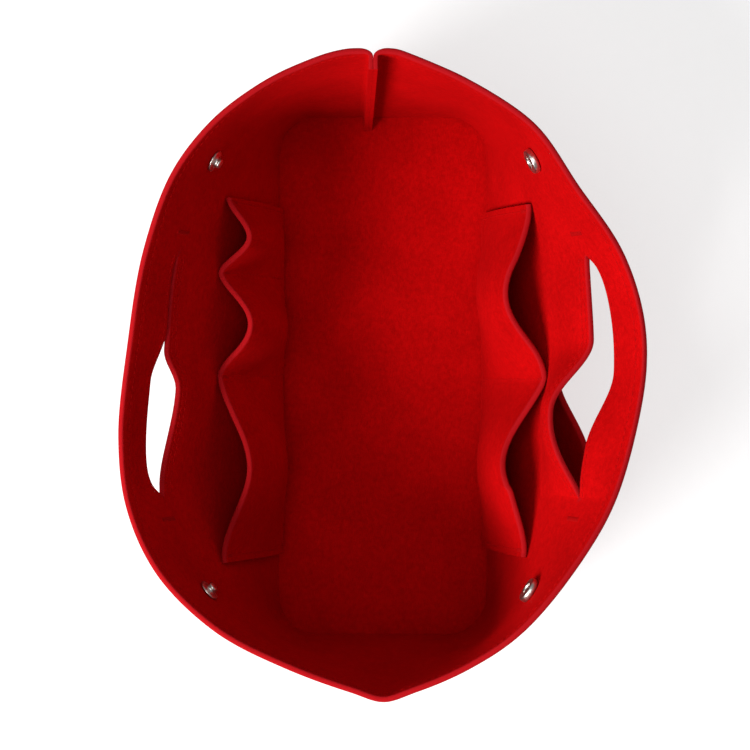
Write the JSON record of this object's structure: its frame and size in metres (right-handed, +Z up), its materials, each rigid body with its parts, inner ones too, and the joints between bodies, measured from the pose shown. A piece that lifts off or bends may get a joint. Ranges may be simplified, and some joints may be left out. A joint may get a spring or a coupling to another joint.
{
  "type": "purse organizer insert",
  "caption": "Open-topped felt bag organizer: a flared felt band on a rounded base, folded at one end and seamed at the other, with hand-hold slits, inner and outer pockets, and ring snaps.",
  "frame": {"origin": "centre of the base panel, on its underside", "axes": "+Z up, +X along the length towards the sewn end, -Y towards the front wall"},
  "size_m": [0.3067, 0.2523, 0.1636],
  "materials": {
    "felt": "matt red needle felt",
    "snap_metal": "nickel plated"
  },
  "bodies": {
    "base": {"base_panel": "felt", "seam_end_front": "felt", "seam_end_back": "felt", "fold_end": "felt"},
    "front_side": {"front_wall": "felt", "front_inner_pocket": "felt", "front_outer_pocket": "felt", "seam_end_snap_socket": "snap_metal", "seam_end_snap_spring": "snap_metal", "seam_end_snap_cap": "snap_metal", "fold_end_snap_socket": "snap_metal", "fold_end_snap_spring": "snap_metal", "fold_end_snap_cap": "snap_metal"},
    "back_side": {"back_wall": "felt", "back_inner_pocket": "felt", "back_outer_pocket": "felt", "seam_end_snap_stud": "snap_metal", "seam_end_snap_eyelet": "snap_metal", "fold_end_snap_stud": "snap_metal", "fold_end_snap_eyelet": "snap_metal"},
    "front_grip": {"front_handle": "felt"},
    "back_grip": {"back_handle": "felt"}
  },
  "joints": [
    {"name": "front_wall_lean", "type": "hinge", "parent": "base", "child": "front_side", "pos_m": [0, -0.0575, 0.0036], "axis": [-1, 0, 0], "range_deg": [-6, 14], "stiffness_Nm_per_rad": 0.8, "springref_deg": 1.43},
    {"name": "back_wall_lean", "type": "hinge", "parent": "base", "child": "back_side", "pos_m": [0, 0.0575, 0.0036], "axis": [1, 0, 0], "range_deg": [-6, 14], "stiffness_Nm_per_rad": 0.8, "springref_deg": 1.43},
    {"name": "front_handle_swing", "type": "hinge", "parent": "front_side", "child": "front_grip", "pos_m": [0, -0.1033, 0.1417], "axis": [-1, 0, 0], "range_deg": [0, 60], "stiffness_Nm_per_rad": 0.005},
    {"name": "back_handle_swing", "type": "hinge", "parent": "back_side", "child": "back_grip", "pos_m": [0, 0.1106, 0.1387], "axis": [1, 0, 0], "range_deg": [0, 60], "stiffness_Nm_per_rad": 0.005}
  ]
}
